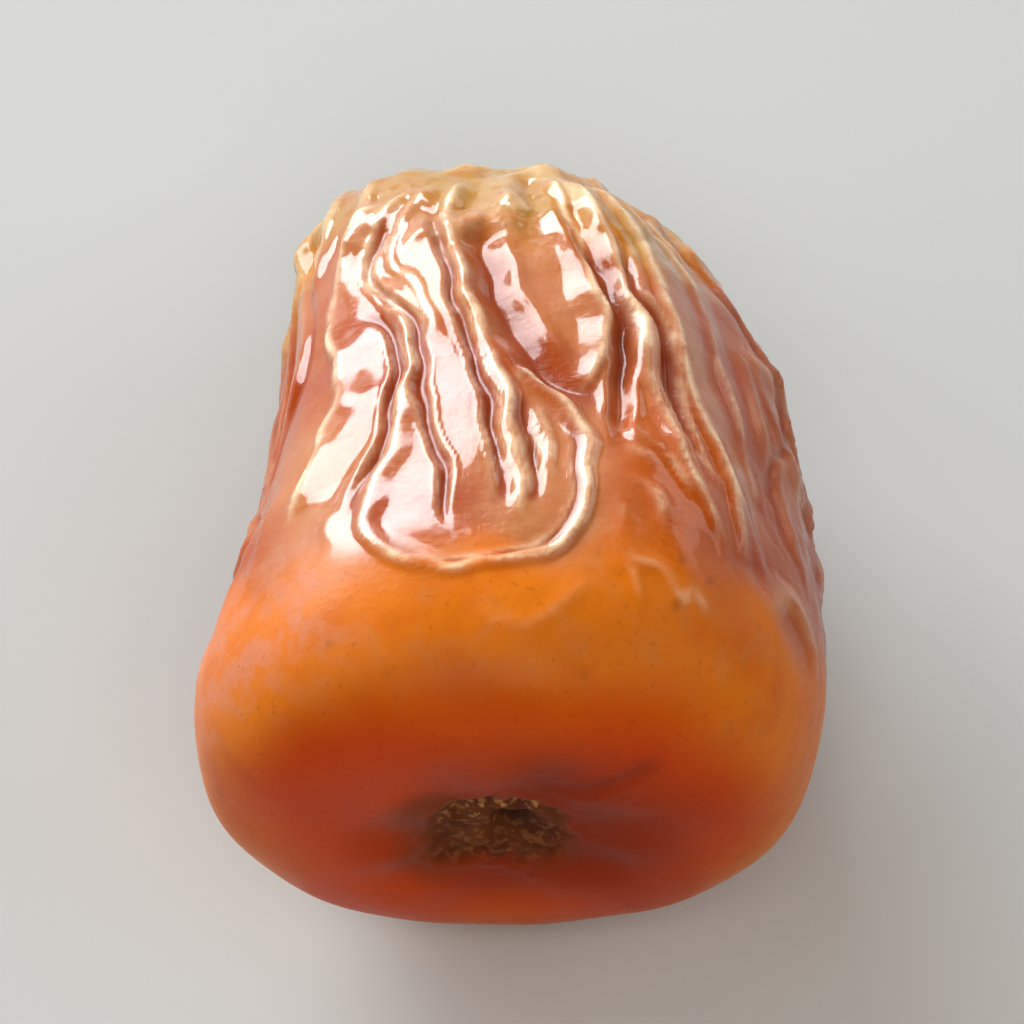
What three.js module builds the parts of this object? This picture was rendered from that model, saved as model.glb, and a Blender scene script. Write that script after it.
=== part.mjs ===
// One sukkari date: a soft, half-dried date fruit without its cap, lying on its side.
// It is a single solid. The stem end is broad, firm and smooth, with a hollow that holds the scar
// of the cap. Past that smooth collar the skin has dried loose: it is fluted lengthwise and pinched
// up into meandering ridges, with furrows between them, that run together at the blunt tip.
//
// Frame: millimetres, +Z up. The long axis runs along Y, stem end at -Y and tip at +Y.
// The date rests on a small flat spot in the plane Z = 0, and its box is centred on X = Y = 0.
// While it is worked out, y is the distance from the stem end and an angle of 0 is the top.

import * as THREE from "three";

// Driving dimensions.
const LENGTH = 33.2;
const WIDTH = 27;
const HEIGHT = 25;

// Outline along the length.
const TAPER_START = 8; // from the stem end, where the body begins to narrow
const TAPER_EASE = 6; // the taper sets in softly over this length on either side of that
const TAPER_PER_MM = 0.0138; // share of the width lost per millimetre past it
const STEM_SQUARENESS = 4.6; // how square the outline's corner is at the stem end
const TIP_SQUARENESS = 5; // the same at the tip, seen from above
const TIP_SQUARENESS_UP = 3; // and seen from the side, where the tip is rounder
const SQUARENESS_CHANGE = [0.35, 0.65]; // shares of the length between which one passes into the other
const SECTION_SQUARENESS = 2.15; // 2 would be an ellipse
const SIDE_SWAY = 9; // strength of the slight S-bend of the long axis, seen from above
const SWAY_TURN = 0.77; // share of the length where that bend crosses the straight axis
const STEM_OFFSET = 0.45; // how far the stem end lies to -X

// The flat spot, where the soft fruit has settled under its own weight.
const SETTLE = 0.4; // how far the round underside is pressed in
const SETTLE_AT = 13; // middle of the flat spot, from the stem end
const BELLY_RISE = 0.005; // how fast the underside curves up away from it, per millimetre
const FLAT_FADE = [0.2, 1.8]; // heights between which the relief fades towards the flat spot

// The stem end: a broad hollow, the round scar in it, and what is left of the cap.
const HOLLOW_DEPTH = 1.1;
const HOLLOW_RADIUS = 5.4;
const SCAR_AT = -0.2; // from the long axis, to +X
const SCAR_RADIUS = 3;
const SCAR_DEPTH = 0.3;
const SCAR_EDGE = 0.8; // half the width of the step down into the scar
const PIT_AT = 0.4;
const PIT_RADIUS = 1.1;
const PIT_DEPTH = 0.8;
const RIM_RADIUS = 1.9; // ring of hard tissue round the pit
const RIM_HEIGHT = 0.28;
const RIM_WIDTH = 0.6;
const PUCKERS = 7; // soft folds of the skin drawn in towards the scar
const PUCKER_DEPTH = 0.16;
const PUCKER_RADIUS = 5;
const PUCKER_WIDTH = 1.6;
const STEM_RELIEF_END = [6, 14]; // distances from the stem end between which all this fades

// The dimple at the tip, where the flower's style sat.
const APEX_RADIUS = 1.2;
const APEX_DEPTH = 0.5;
const APEX_NARROWING = 9; // keeps the dimple on the tip's end face

// The dried skin.
const COLLAR_LINE = 8.8; // mean distance from the stem end where the smooth collar stops
const COLLAR_LINE_TOP = 1.6; // how much nearer the stem end it is on top than on the mean
const COLLAR_LINE_SIDE = 0.8; // and on the +X side
const COLLAR_LINE_WAVE = { height: 0.6, count: 3, turn: 1 };
const COLLAR_FADE = [-2.2, 3]; // the flutes set in between these distances from that line
const SHRINK = 0.2; // how far the dried skin is drawn in
const FLUTE_DEPTH = 0.42;
const FLUTES = [
  { count: 3, share: 0.5, turn: 1.1 },
  { count: 5, share: 0.35, turn: 4 },
  { count: 8, share: 0.25, turn: 2.2 },
];

// Ridges and furrows.
const CREST_ROUND = 0.35; // radius of a crest
const FLANK = 1.35; // width of each side of a ridge
const LINE_END = 2; // length over which a ridge or a furrow dies away at its ends
const UNION = 6; // power of the sum where ridges meet: no taller than the tallest
const UNEVEN = { mean: 0.85, share: 0.2, perMm: 0.9, turn: 20 }; // a crest rises and falls along the way
const TIP_FADE = [0.15, 0.8]; // the relief gets lower as the tip's outline narrows between these shares

// Ridges on top, by eye: height, and places in plan, x and y from the stem end.
const TOP_RIDGES = [
  // The loose patch on top has a rolled edge that runs from the tip round the patch and ends in a curl.
  { height: 0.75, at: [[-4.6, 30.4], [-5.9, 28.2], [-6.5, 25.8], [-6, 23.7], [-4.9, 22.3], [-4.4, 20],
    [-4.4, 17.2], [-4.9, 14.6], [-5.7, 12.3], [-6.2, 10.4], [-5.9, 8.9], [-4.8, 7.7], [-2.8, 6.8],
    [-0.5, 7], [1.5, 7.8], [2.8, 10], [3.2, 12.9], [2.8, 15.4], [1.7, 16.9], [0.5, 18.3], [0, 17]] },
  // Folds inside that patch.
  { height: 0.75, at: [[-2.2, 31], [-3, 29], [-2.8, 26.5], [-2.2, 23.9], [-1.4, 20.6], [-0.6, 17.7],
    [-0.2, 14.5], [0.3, 9.2]] },
  { height: 0.35, at: [[0.6, 16.8], [1.3, 14.4], [1.6, 11.6]] },
  // Folds on either side of it.
  { height: 0.5, at: [[-5.2, 30.3], [-6.8, 28.2], [-7.4, 26], [-7.8, 23.1], [-7.3, 19], [-7.5, 17],
    [-8.6, 13.6], [-9.4, 11]] },
  { height: 0.6, at: [[1.1, 31.2], [2, 29.4], [2.6, 27], [3.3, 24], [3.9, 21], [3.4, 18.4], [2.9, 16.9]] },
  { height: 0.75, at: [[2, 31.2], [3.2, 28.6], [4, 25.5], [4.9, 21.8], [5.6, 18.5], [6.5, 14.9],
    [7.9, 11.9], [8.8, 10]] },
  { height: 0.7, at: [[2.8, 31.4], [4.2, 29.6], [5, 27.5], [6.3, 22.5], [7.5, 17.9], [8.8, 14.8],
    [9.5, 12], [9.8, 9.5]] },
  { height: 0.4, at: [[4, 31.4], [6, 29.2], [7.4, 26], [8.7, 21.5], [9.9, 17], [10.7, 13.4]] },
  { height: 0.35, at: [[6.9, 7], [8, 5.6]] },
];

// Furrows on top: depth, half width and places in plan.
const TOP_FURROWS = [
  { depth: 0.7, width: 1.5, at: [[-0.4, 29.3], [-0.9, 27.3], [-1.4, 25.7], [-0.8, 23], [0.2, 20.2],
    [1.2, 18.3], [2.4, 17.2], [4, 16.6]] },
  { depth: 0.6, width: 1.3, at: [[1.6, 30.4], [2.4, 28], [2.8, 26.2], [4, 23.6], [4.6, 21.4], [4.6, 19],
    [4.4, 16], [4.2, 13]] },
];

// Ridges on the sides and the underside, by rule: loose patches side by side, each with two edges
// that run to the tip, closed in an arch near the collar or open, a fold inside and a short one across.
// A pair of numbers is a span, from which each patch draws its own value.
const PATCHES = 7;
const PATCHES_FROM = 1.2; // angles between which they lie, from the top towards +X, in radians
const PATCHES_TO = 5.25;
const PATCHES_CLOSED = 0.55; // share of them that an arch closes
const PATCH_SHARE = 0.72; // how much of its own place each fills, the rest being a furrow
const PATCH_SHIFT = [-0.14, 0.14]; // from the middle of its place, as a share of that place
const PATCH_START = [0.3, 2.8]; // from the collar line to the top of its arch
const PATCH_TIP_SHARE = 0.8; // the edges draw together towards the tip
const PATCH_SEED = 11;
const SHOULDER = { side: 0.85, drop: 0.6 }; // corners of the arch: share of the half width, millimetres on
const EDGE_START = 1.4; // from the top of the arch to the first point of an edge
const EDGE_DELAY = [0, 2.5]; // the second edge of an open patch begins this much later
const FOLD_START = [2.5, 4.5];
const FOLD_SIDE = [-0.2, 0.2]; // place of the fold between the edges, which are at -1 and 1
const LINE_POINTS = 7; // on each edge and fold
const MEANDER = [0.06, 0.17]; // how far they wander, in radians
const MEANDER_PER_MM = [0.36, 0.6];
const MEANDER_START = 6; // the wandering sets in over this length
const LINE_STOP = 30.8; // where they turn over on to the tip's end face
const OVER_TIP = 0.5; // share of them that run on over it
const OVER_TIP_SHARES = [0.85, 0.72, 0.58]; // through places where the outline has narrowed to these
const OVER_TIP_LAST = [0.44, 0.62]; // and to one of its own
const EARLY_STOP = [0, 3]; // the others stop this much before
const EDGE_HEIGHT = [0.4, 0.75];
const FOLD_HEIGHT = [0.25, 0.5];
const LINK_HEIGHT = 0.3; // of the short fold across

// Mesh.
const AROUND = 97;
const RINGS = 61;
const TOP_CROWDING = 0.36; // steps round the body are closer together on top by this share
const FINE_STEPS = 4000; // steps along the outline from which the rings are chosen
const SCAR_STEP = 0.55; // distance between rings at the scar
const COLLAR_STEP = 1.9; // on the smooth collar
const SKIN_STEP = 0.68; // on the dried skin
const TIP_STEP = 1; // on the tip's end face
const TIP_FACE = 0.55; // share of the width that counts as that face
const SCAR_MARGIN = 1.5; // the rings are close this far round the scar
const COLLAR_MARGIN = 2; // and this far before the collar stops
const SPLINE_STEPS = 5; // straight steps between two points of a ridge
const SKIN_COLOUR = 0xb4560f;

const TURN = 2 * Math.PI;
const { lerp, clamp } = THREE.MathUtils;
const smooth = (low, high, v) => THREE.MathUtils.smoothstep(v, low, high);
const signedPower = (v, power) => Math.sign(v) * Math.abs(v) ** power;

// Repeatable random numbers from 0 to 1.
function randomFrom(seed) {
  let state = seed >>> 0;
  return () => {
    state = (state + 0x6d2b79f5) >>> 0;
    let t = Math.imul(state ^ (state >>> 15), 1 | state);
    t = (t + Math.imul(t ^ (t >>> 7), 61 | t)) ^ t;
    return ((t ^ (t >>> 14)) >>> 0) / 4294967296;
  };
}

// The plain form, before any relief.

// Share of the full width left at y by the taper alone.
function taper(y) {
  const past = y - TAPER_START;
  const eased = clamp(past + TAPER_EASE, 0, 2 * TAPER_EASE) ** 2 / (4 * TAPER_EASE);
  return 1 - TAPER_PER_MM * (past > TAPER_EASE ? past : eased);
}

// Sideways and upward place of the long axis at y.
function axisAt(y) {
  const share = y / LENGTH;
  return {
    x: SIDE_SWAY * share ** 2 * (SWAY_TURN - share) - STEM_OFFSET * (1 - share) ** 2,
    z: (HEIGHT / 2) * taper(y) + BELLY_RISE * (y - SETTLE_AT) ** 2 - SETTLE,
  };
}

// How full the section is at y: 0 at both ends, about 1 in the middle.
function fullness(y, tipSquareness) {
  const change = smooth(...SQUARENESS_CHANGE, y / LENGTH);
  const n = lerp(STEM_SQUARENESS, tipSquareness, change);
  const fromMiddle = Math.min(1, Math.abs((2 * y) / LENGTH - 1));
  return (1 - fromMiddle ** n) ** (1 / n);
}

// Where the outline at the tip has narrowed to this share of its width.
const tipPlace = (share) => (LENGTH / 2) * (1 + (1 - share ** TIP_SQUARENESS) ** (1 / TIP_SQUARENESS));

// A point of the plain form.
function plainPoint(y, angle) {
  const axis = axisAt(y);
  const power = 2 / SECTION_SQUARENESS;
  const halfWidth = (WIDTH / 2) * taper(y) * fullness(y, TIP_SQUARENESS);
  const halfHeight = (HEIGHT / 2) * taper(y) * fullness(y, TIP_SQUARENESS_UP);
  return new THREE.Vector3(
    axis.x + halfWidth * signedPower(Math.sin(angle), power),
    y,
    Math.max(0, axis.z + halfHeight * signedPower(Math.cos(angle), power)),
  );
}

// The same surface, above the place (x, y) of the plan.
function topPoint([x, y]) {
  const halfWidth = (WIDTH / 2) * taper(y) * fullness(y, TIP_SQUARENESS);
  const across = clamp((x - axisAt(y).x) / halfWidth, -1, 1);
  return plainPoint(y, Math.asin(signedPower(across, SECTION_SQUARENESS / 2)));
}

// Where the smooth collar stops.
function collarLine(angle) {
  const swing = COLLAR_LINE_TOP * Math.cos(angle) + COLLAR_LINE_SIDE * Math.sin(angle);
  const { height, count, turn } = COLLAR_LINE_WAVE;
  return COLLAR_LINE - swing + height * Math.sin(count * angle + turn);
}

// The ridges and furrows, as chains of short straight steps that follow the plain form.

// A chain through the points, with how far along it each of its corners is.
function chainThrough(points) {
  const curve = new THREE.CatmullRomCurve3(points, false, "centripetal");
  const corners = curve.getPoints(SPLINE_STEPS * (points.length - 1));
  const passed = [0];
  for (let k = 1; k < corners.length; k += 1) {
    passed.push(passed[k - 1] + corners[k].distanceTo(corners[k - 1]));
  }
  return { corners, passed };
}

// The edges, the fold and the short fold across of one patch.
function patchRidges(middle, halfAngle, random) {
  const within = ([low, high]) => lerp(low, high, random());
  const start = collarLine(middle) + within(PATCH_START);
  const closed = random() < PATCHES_CLOSED;
  const line = (side, fromY) => {
    const turn = TURN * random();
    const meander = within(MEANDER);
    const perMm = within(MEANDER_PER_MM);
    const overTip = random() < OVER_TIP;
    const stop = overTip ? LINE_STOP : LINE_STOP - within(EARLY_STOP);
    const places = [];
    for (let k = 0; k <= LINE_POINTS; k += 1) {
      const along = k / LINE_POINTS;
      places.push({ y: lerp(fromY, stop, along), along });
    }
    if (overTip) {
      const shares = [...OVER_TIP_SHARES, within(OVER_TIP_LAST)];
      places.push(...shares.map((share) => ({ y: tipPlace(share), along: 1 })));
    }
    return places.map(({ y, along }) => {
      const spread = side * halfAngle * lerp(1, PATCH_TIP_SHARE, along);
      const wander = meander * Math.sin(y * perMm + turn) * smooth(start, start + MEANDER_START, y);
      return plainPoint(y, middle + spread + wander);
    });
  };
  const left = line(-1, start + EDGE_START);
  const right = line(1, start + EDGE_START + (closed ? 0 : within(EDGE_DELAY)));
  const arch = [-SHOULDER.side, 0, SHOULDER.side].map((side) =>
    plainPoint(start + (side === 0 ? 0 : SHOULDER.drop), middle + side * halfAngle),
  );
  const fold = line(within(FOLD_SIDE), start + within(FOLD_START));
  const link = [right[2], right[3].clone().add(fold[2]).multiplyScalar(0.5), fold[3]];
  const edges = closed ? [[...left.slice().reverse(), ...arch, ...right]] : [left, right];
  const ridges = edges.map((at) => ({ height: within(EDGE_HEIGHT), at }));
  ridges.push({ height: within(FOLD_HEIGHT), at: fold });
  ridges.push({ height: LINK_HEIGHT, at: link });
  return ridges;
}

function allRidges() {
  const ridges = TOP_RIDGES.map(({ height, at }) => ({ height, at: at.map(topPoint) }));
  const random = randomFrom(PATCH_SEED);
  const place = (PATCHES_TO - PATCHES_FROM) / PATCHES;
  for (let k = 0; k < PATCHES; k += 1) {
    const middle = PATCHES_FROM + place * (k + 0.5 + lerp(...PATCH_SHIFT, random()));
    ridges.push(...patchRidges(middle, (place / 2) * PATCH_SHARE, random));
  }
  return ridges.map(({ height, at }) => ({ height, chain: chainThrough(at) }));
}

const allFurrows = () =>
  TOP_FURROWS.map(({ depth, width, at }) => ({ depth, width, chain: chainThrough(at.map(topPoint)) }));

// Distance from a point to a chain, and the length along the chain to its nearer end.
const nearest = new THREE.Vector3();
const step = new THREE.Line3();
function placeBeside({ corners, passed }, point) {
  let best = Infinity;
  let along = 0;
  for (let k = 1; k < corners.length; k += 1) {
    step.set(corners[k - 1], corners[k]);
    step.closestPointToPoint(point, true, nearest);
    const squared = nearest.distanceToSquared(point);
    if (squared < best) {
      best = squared;
      along = passed[k - 1] + nearest.distanceTo(corners[k - 1]);
    }
  }
  return { distance: Math.sqrt(best), toEnd: Math.min(along, passed.at(-1) - along) };
}

// The relief, as a height above the plain form.

// 1 on a line, falling straight to 0 at this distance from it.
function tent(distance, width) {
  const off = Math.hypot(distance, CREST_ROUND) - CREST_ROUND;
  return Math.max(0, 1 - off / width);
}

// The size at a place beside a line that dies away at its ends, raised for the sum.
function lineRelief(size, width, { distance, toEnd }) {
  return (size * smooth(0, LINE_END, toEnd) * tent(distance, width)) ** UNION;
}

function ridgeRelief(ridges, point) {
  const narrowed = smooth(...TIP_FADE, fullness(point.y, TIP_SQUARENESS));
  let sum = 0;
  for (const { height, chain } of ridges) {
    const uneven = UNEVEN.mean + UNEVEN.share * Math.sin(UNEVEN.perMm * point.y + UNEVEN.turn * height);
    sum += lineRelief(height * uneven * narrowed, FLANK, placeBeside(chain, point));
  }
  return sum ** (1 / UNION);
}

function furrowRelief(furrows, point) {
  let sum = 0;
  for (const { depth, width, chain } of furrows) {
    sum += lineRelief(depth, width, placeBeside(chain, point));
  }
  return -(sum ** (1 / UNION));
}

function stemRelief(point, angle) {
  const axis = axisAt(0);
  const x = point.x - axis.x;
  const z = point.z - axis.z;
  const radius = Math.hypot(x, z);
  const fromScar = Math.hypot(x - SCAR_AT, z);
  const fromPit = Math.hypot(x - PIT_AT, z);
  const bell = (distance, middle, width) => Math.exp(-(((distance - middle) / width) ** 2));
  const relief =
    -HOLLOW_DEPTH * bell(radius, 0, HOLLOW_RADIUS)
    - SCAR_DEPTH * (1 - smooth(SCAR_RADIUS - SCAR_EDGE, SCAR_RADIUS + SCAR_EDGE, fromScar))
    + RIM_HEIGHT * bell(fromPit, RIM_RADIUS, RIM_WIDTH)
    - PIT_DEPTH * bell(fromPit, 0, PIT_RADIUS)
    + PUCKER_DEPTH * Math.cos(PUCKERS * angle) * bell(radius, PUCKER_RADIUS, PUCKER_WIDTH);
  return relief * (1 - smooth(...STEM_RELIEF_END, point.y));
}

function apexRelief(point) {
  const axis = axisAt(LENGTH);
  const radius = Math.hypot(point.x - axis.x, point.z - axis.z) + APEX_NARROWING * (LENGTH - point.y);
  return -APEX_DEPTH * Math.exp(-((radius / APEX_RADIUS) ** 2));
}

function fluteRelief(point, angle) {
  const line = collarLine(angle);
  const dried = smooth(line + COLLAR_FADE[0], line + COLLAR_FADE[1], point.y);
  const narrowed = point.y > LENGTH / 2 ? smooth(...TIP_FADE, fullness(point.y, TIP_SQUARENESS)) : 1;
  const flutes = FLUTES.reduce(
    (sum, { count, share, turn }) => sum + share * Math.cos(count * angle + turn),
    0,
  );
  return dried * (FLUTE_DEPTH * flutes * narrowed - SHRINK);
}

// The mesh: rings from pole to pole, closer together where the relief is fine.

// Places along the length, close together at both poles, where the outline turns across.
function finePlaces() {
  const power = STEM_SQUARENESS / 2;
  const places = [];
  for (let k = 0; k <= FINE_STEPS; k += 1) {
    const share = k / FINE_STEPS;
    const half = share < 0.5 ? 2 * share : 2 * (1 - share);
    const eased = half ** power / (half ** power + (1 - half) ** power);
    const fromMiddle = Math.abs(Math.cos((eased * Math.PI) / 2)) ** (1 / power);
    places.push((LENGTH / 2) * (share < 0.5 ? 1 - fromMiddle : 1 + fromMiddle));
  }
  return places;
}

function ringSpacing(y, radius) {
  if (y > LENGTH / 2) return radius < (WIDTH / 2) * TIP_FACE ? TIP_STEP : SKIN_STEP;
  if (radius < SCAR_RADIUS + SCAR_MARGIN) return SCAR_STEP;
  return y < COLLAR_LINE - COLLAR_LINE_TOP - COLLAR_MARGIN ? COLLAR_STEP : SKIN_STEP;
}

function ringPlaces() {
  const places = finePlaces();
  const radiusAt = (y) => (WIDTH / 2) * taper(y) * fullness(y, TIP_SQUARENESS);
  const passed = [0];
  for (let k = 1; k < places.length; k += 1) {
    const radius = radiusAt(places[k]);
    const length = Math.hypot(places[k] - places[k - 1], radius - radiusAt(places[k - 1]));
    passed.push(passed[k - 1] + length / ringSpacing(places[k], radius));
  }
  const rings = [];
  for (let k = 0; rings.length < RINGS; k += 1) {
    const wanted = (passed.at(-1) * (rings.length + 1)) / (RINGS + 1);
    if (passed[k] >= wanted) rings.push(places[k]);
  }
  return rings;
}

// Angles round the body, closer together on top.
const angles = Array.from({ length: AROUND }, (_, k) => {
  const even = (TURN * k) / AROUND;
  return even - TOP_CROWDING * Math.sin(even);
});

function dateGeometry() {
  const rings = ringPlaces();
  const points = [plainPoint(0, 0)];
  const pointAngles = [0];
  for (const y of rings) {
    for (const angle of angles) {
      points.push(plainPoint(y, angle));
      pointAngles.push(angle);
    }
  }
  points.push(plainPoint(LENGTH, 0));
  pointAngles.push(0);

  const faces = [];
  const corner = (ring, k) => 1 + ring * AROUND + (k % AROUND);
  for (let k = 0; k < AROUND; k += 1) {
    faces.push(0, corner(0, k + 1), corner(0, k));
    for (let ring = 0; ring < RINGS - 1; ring += 1) {
      faces.push(corner(ring, k), corner(ring + 1, k + 1), corner(ring + 1, k));
      faces.push(corner(ring, k), corner(ring, k + 1), corner(ring + 1, k + 1));
    }
    faces.push(points.length - 1, corner(RINGS - 1, k), corner(RINGS - 1, k + 1));
  }

  const geometry = new THREE.BufferGeometry().setFromPoints(points);
  geometry.setIndex(faces);
  geometry.computeVertexNormals();
  const normals = geometry.getAttribute("normal");
  const normal = new THREE.Vector3();
  const ridges = allRidges();
  const furrows = allFurrows();
  const raised = points.map((point, k) => {
    normal.fromBufferAttribute(normals, k);
    const relief =
      fluteRelief(point, pointAngles[k])
      + ridgeRelief(ridges, point)
      + furrowRelief(furrows, point)
      + stemRelief(point, pointAngles[k])
      + apexRelief(point);
    const moved = point.clone().addScaledVector(normal, relief * smooth(...FLAT_FADE, point.z));
    moved.z = Math.max(0, moved.z);
    return moved;
  });

  geometry.setFromPoints(raised);
  geometry.computeVertexNormals();
  geometry.computeBoundingBox();
  const middle = geometry.boundingBox.getCenter(new THREE.Vector3());
  return geometry.translate(-middle.x, -middle.y, 0);
}

const skin = new THREE.MeshStandardMaterial({ color: SKIN_COLOUR, roughness: 0.35, metalness: 0 });
const date = new THREE.Mesh(dateGeometry(), skin);
date.name = "date";

const part = new THREE.Group();
part.add(date);

export default part;
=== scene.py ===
"""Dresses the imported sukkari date: a finely wrinkled skin in place of the plain solid, with its finish,
on a pale floor in soft studio light."""

import math
from collections import namedtuple

import bpy
import numpy as np
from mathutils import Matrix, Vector


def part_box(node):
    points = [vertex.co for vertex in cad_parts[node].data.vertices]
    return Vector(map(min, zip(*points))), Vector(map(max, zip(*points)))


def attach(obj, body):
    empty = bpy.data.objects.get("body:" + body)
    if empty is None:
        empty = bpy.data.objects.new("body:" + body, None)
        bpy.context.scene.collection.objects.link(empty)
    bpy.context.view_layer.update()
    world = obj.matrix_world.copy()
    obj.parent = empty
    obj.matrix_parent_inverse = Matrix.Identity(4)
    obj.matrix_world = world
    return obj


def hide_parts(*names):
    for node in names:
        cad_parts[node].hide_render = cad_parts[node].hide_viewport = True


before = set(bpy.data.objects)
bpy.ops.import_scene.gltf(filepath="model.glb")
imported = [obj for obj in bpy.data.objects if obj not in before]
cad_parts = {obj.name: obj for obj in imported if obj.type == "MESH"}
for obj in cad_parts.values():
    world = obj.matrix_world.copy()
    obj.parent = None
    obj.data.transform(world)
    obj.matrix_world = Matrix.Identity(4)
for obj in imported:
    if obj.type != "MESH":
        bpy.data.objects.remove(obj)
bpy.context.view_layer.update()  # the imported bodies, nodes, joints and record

# All lengths are in millimetres until a mesh or a light is made: this turns them into metres.
MM = 0.001

# The plain form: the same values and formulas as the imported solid's.
LENGTH = 33.2
WIDTH = 27
HEIGHT = 25
TAPER_START = 8
TAPER_EASE = 6  # the taper sets in softly over this length on either side of its start
TAPER_PER_MM = 0.0138
STEM_SQUARENESS = 4.6
TIP_SQUARENESS = 5
TIP_SQUARENESS_UP = 3
SQUARENESS_CHANGE = (0.35, 0.65)
SECTION_SQUARENESS = 2.15
SIDE_SWAY = 9
SWAY_TURN = 0.77
STEM_OFFSET = 0.45
SETTLE = 0.4
SETTLE_AT = 13
BELLY_RISE = 0.005
FLAT_FADE = (0.2, 1.8)

# The stem end.
HOLLOW_DEPTH = 1.1
HOLLOW_RADIUS = 5.4
SCAR_AT = -0.2  # from the axis, to the right
SCAR_RADIUS = 3
SCAR_DEPTH = 0.25
SCAR_EDGE = 0.5
STAIN_AT = -1.5
STAIN_RADIUS = 3.6
RIM_RADIUS = 1.9
RIM_HEIGHT = 0.25
RIM_WIDTH = 0.6
PIT_AT = 0.4
PIT_RADIUS = 0.9
PIT_DEPTH = 0.7
PUCKERS = 7
PUCKER_DEPTH = 0.16
PUCKER_RADIUS = 5
PUCKER_WIDTH = 1.6

# The tip's dimple, where the flower's style sat.
APEX_RADIUS = 1.1
APEX_DEPTH = 0.5

TIP_PUCKERS = 19  # fine folds that run together towards it
TIP_PUCKER_BEND = 1.6  # radians by which they stray
TIP_PUCKER_HEIGHT = 0.2

# The dried skin.
COLLAR_LINE = 8.8
COLLAR_LINE_TOP = 1.6
COLLAR_LINE_SIDE = 0.8
COLLAR_LINE_WAVE = (0.6, 3, 1)  # height, how many round the body, turn
COLLAR_FADE = (-2.2, 3)
SHRINK = 0.2
FLUTE_DEPTH = 0.42
FLUTES = ((3, 0.5, 1.1), (5, 0.35, 4), (8, 0.25, 2.2))  # how many round the body, share, turn
CREST_ROUND = 0.12
FOOT = 1.1  # how softly a crest's sides meet the skin
FOOT_GROOVE = 0.25  # half width of the groove at the foot of a crest's steeper side
FOOT_DEPTH = 0.45  # and its depth, as a share of the crest's height
REACH = 3  # a line is not felt further away than this
LINE_END = 2  # length over which a ridge dies away at its ends
FURROW_END = 4  # and a furrow
UNION = 6  # power of the sum where ridges meet
WOBBLE = 0.11  # lines stray this far from their course
WOBBLE_SIZE = 1.5  # in bends of about this length
UNEVEN = (0.85, 0.2, 0.9, 20)  # a crest rises and falls along the way: mean, share, pace, turn
TIP_FADE = (0.15, 0.8)  # the relief gets lower as the tip's outline narrows between these shares

# Ridges on top: height, width of the left and of the right side seen along the way, and places in plan.
Ridge = namedtuple("Ridge", "height left right at")
TOP_RIDGES = [
    Ridge(0.27, 0.9, 0.3, [
        (-4.6, 30.4), (-5.9, 28.2), (-6.5, 25.8), (-6, 23.7), (-4.9, 22.3), (-4.4, 20), (-4.4, 17.2),
        (-4.9, 14.6), (-5.7, 12.3), (-6.2, 10.4), (-5.9, 8.9), (-4.8, 7.7), (-2.8, 6.8), (-0.5, 7), (1.5, 7.8),
        (2.8, 10), (3.2, 12.9), (2.8, 15.4), (1.7, 16.9), (0.5, 18.3), (0, 17)]),
    Ridge(0.18, 0.35, 0.35, [(-3.6, 30.6), (-4.8, 28), (-5.2, 25.6), (-4.5, 24.1), (-3.6, 22), (-3.1, 19.5)]),
    Ridge(0.3, 0.55, 0.25, [
        (-2.2, 31), (-3, 29), (-2.8, 26.5), (-2.2, 23.9), (-1.4, 20.6), (-0.6, 17.7), (-0.2, 14.5), (0.3, 9.2)]),
    Ridge(0.18, 0.35, 0.3, [(0.6, 16.8), (1.3, 14.4), (1.6, 11.6)]),
    Ridge(0.38, 2.2, 0.4, [
        (-5.2, 30.3), (-6.8, 28.2), (-7.4, 26), (-7.8, 23.1), (-7.3, 19), (-7.5, 17), (-8.6, 13.6), (-9.4, 11)]),
    Ridge(0.36, 0.3, 1.2, [(1.1, 31.2), (2, 29.4), (2.6, 27), (3.3, 24), (3.9, 21), (3.4, 18.4), (2.9, 16.9)]),
    Ridge(0.38, 1.6, 0.46, [
        (2, 31.2), (3.2, 28.6), (4, 25.5), (4.9, 21.8), (5.6, 18.5), (6.5, 14.9), (7.9, 11.9), (8.8, 10)]),
    Ridge(0.38, 1.7, 0.46, [
        (2.8, 31.4), (4.2, 29.6), (5, 27.5), (6.3, 22.5), (7.5, 17.9), (8.8, 14.8), (9.5, 12), (9.8, 9.5)]),
    Ridge(0.16, 1.1, 0.4, [(4, 31.4), (6, 29.2), (7.4, 26), (8.7, 21.5), (9.9, 17), (10.7, 13.4)]),
    Ridge(0.3, 0.5, 0.5, [(6.9, 7), (8, 5.6)]),
    Ridge(0.16, 0.5, 0.6, [(4.9, 12.7), (5.9, 11.3), (6, 9.4)]),
    Ridge(0.12, 0.5, 0.6, [(3.9, 14.1), (5.2, 13.6), (6.3, 12.7)]),
    Ridge(0.12, 0.4, 0.6, [(4.2, 10.6), (4.9, 9.7), (5, 8.7)]),
    Ridge(0.09, 0.6, 0.6, [(-1.6, 5.6), (-0.6, 4.7), (0.8, 4.4), (1.9, 5.2), (3, 6.9)]),
]

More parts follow.
